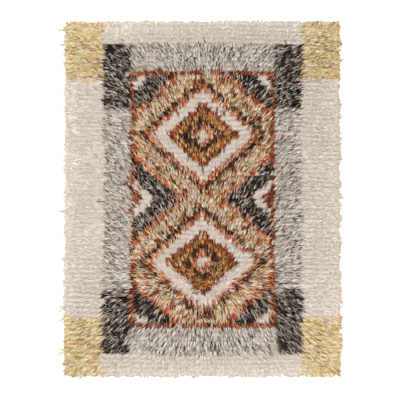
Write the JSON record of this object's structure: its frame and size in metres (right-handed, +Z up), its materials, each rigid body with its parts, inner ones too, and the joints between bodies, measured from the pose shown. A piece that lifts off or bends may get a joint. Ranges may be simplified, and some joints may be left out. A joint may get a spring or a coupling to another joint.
{
  "type": "rya rug",
  "caption": "Rectangular shag rug of knotted wool pile on a thin woven ground, lying flat with ragged locks of pile along its edges.",
  "frame": {"origin": "middle of the flat underside, on the floor", "axes": "+Z up out of the pile, +Y along the rug's length to the end that the picture shows at the top, +X to the right as one looks down on the pile"},
  "size_m": [1.41, 1.8, 0.0385],
  "materials": {
    "wool": "matt long wool pile in mixed natural and dyed yarns"
  },
  "bodies": {
    "root": {"shag_rug": "wool"}
  },
  "joints": []
}
